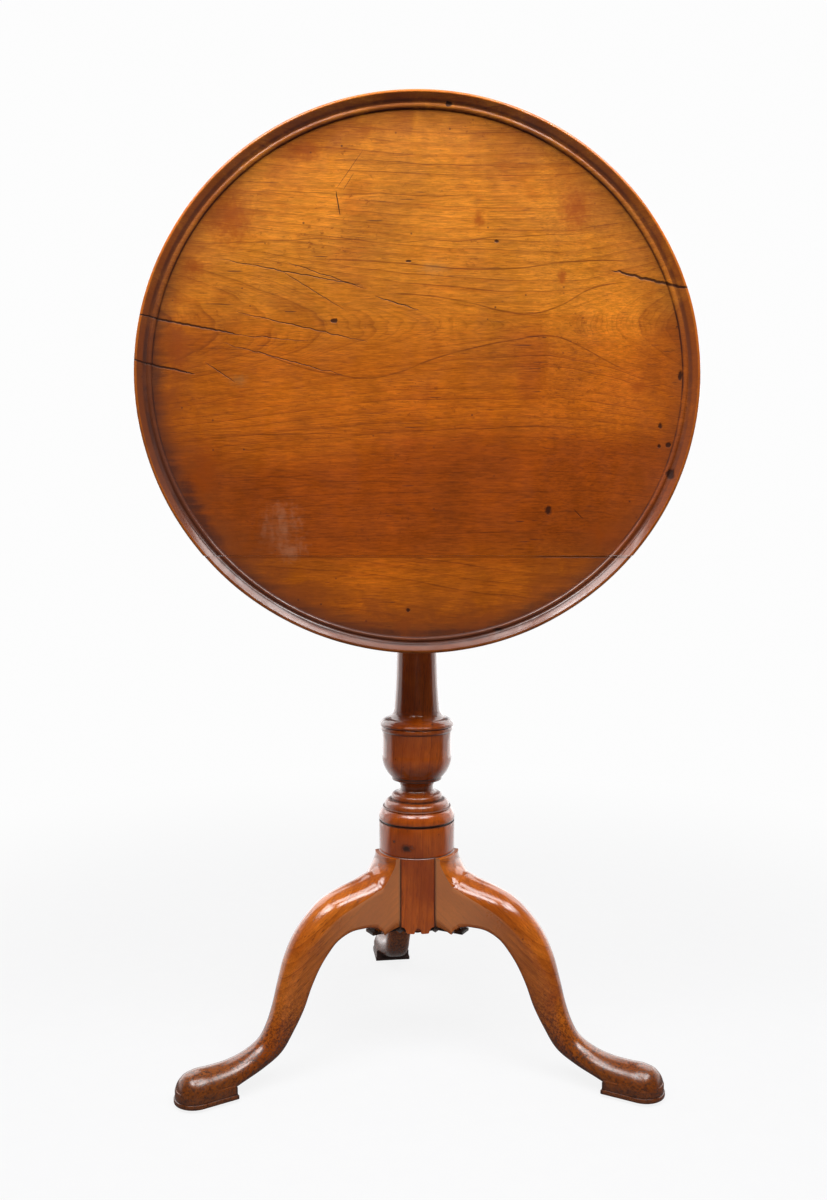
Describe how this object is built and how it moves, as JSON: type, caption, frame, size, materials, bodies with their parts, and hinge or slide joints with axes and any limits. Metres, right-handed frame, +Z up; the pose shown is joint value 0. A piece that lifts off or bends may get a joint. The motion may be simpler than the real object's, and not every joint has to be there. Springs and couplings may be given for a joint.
{
  "type": "tilt-top tea table",
  "caption": "Round dished tray top tilted upright on a turned pillar with urn and rings, carried by cabriole legs with slipper feet, with a pintle block, battens and a spring catch.",
  "frame": {"origin": "on the floor, under the middle of the table's footprint; the pillar's axis stands 63.7 mm in front of it", "axes": "+Z up along the pillar; the upright tray faces -Y; +X to the right seen from the tray's front"},
  "size_m": [0.57, 0.4298, 1.0097],
  "materials": {
    "top_wood": "figured mahogany, waxed, with grime in the rim",
    "pillar_wood": "turned mahogany, polished",
    "leg_wood": "carved mahogany, polished backs and duller flat sides",
    "frame_wood": "plain dry wood, unpolished",
    "foot_felt": "black felt",
    "iron": "dark wrought iron",
    "brass": "tarnished brass",
    "spring_steel": "blued spring steel"
  },
  "bodies": {
    "base": {"pillar": "pillar_wood", "pillar_wedge": "frame_wood", "pivot_block": "frame_wood", "strike_plate": "brass", "strike_screws": "brass", "front_left_leg": "leg_wood", "front_right_leg": "leg_wood", "rear_leg": "leg_wood", "front_left_foot_pad": "foot_felt", "front_right_foot_pad": "foot_felt", "rear_foot_pad": "foot_felt", "leg_brace": "iron", "brace_nails": "iron"},
    "top": {"tabletop_main_board": "top_wood", "tabletop_lower_board": "top_wood", "left_batten": "frame_wood", "right_batten": "frame_wood", "batten_screws": "iron", "catch_case": "brass", "catch_screws": "brass", "catch_spring": "spring_steel"},
    "bolt": {"catch_bolt": "brass", "catch_knob": "brass"}
  },
  "joints": [
    {"name": "top_tilt", "type": "hinge", "parent": "base", "child": "top", "pos_m": [0, -0.1057, 0.6827], "axis": [-1, 0, 0], "range_deg": [0, 90]},
    {"name": "bolt_slide", "type": "slide", "parent": "top", "child": "bolt", "axis": [0, 0, 1], "range_m": [0, 0.007], "stiffness_N_per_m": 300, "springref_m": -0.006, "deforming": ["catch_spring"]}
  ]
}
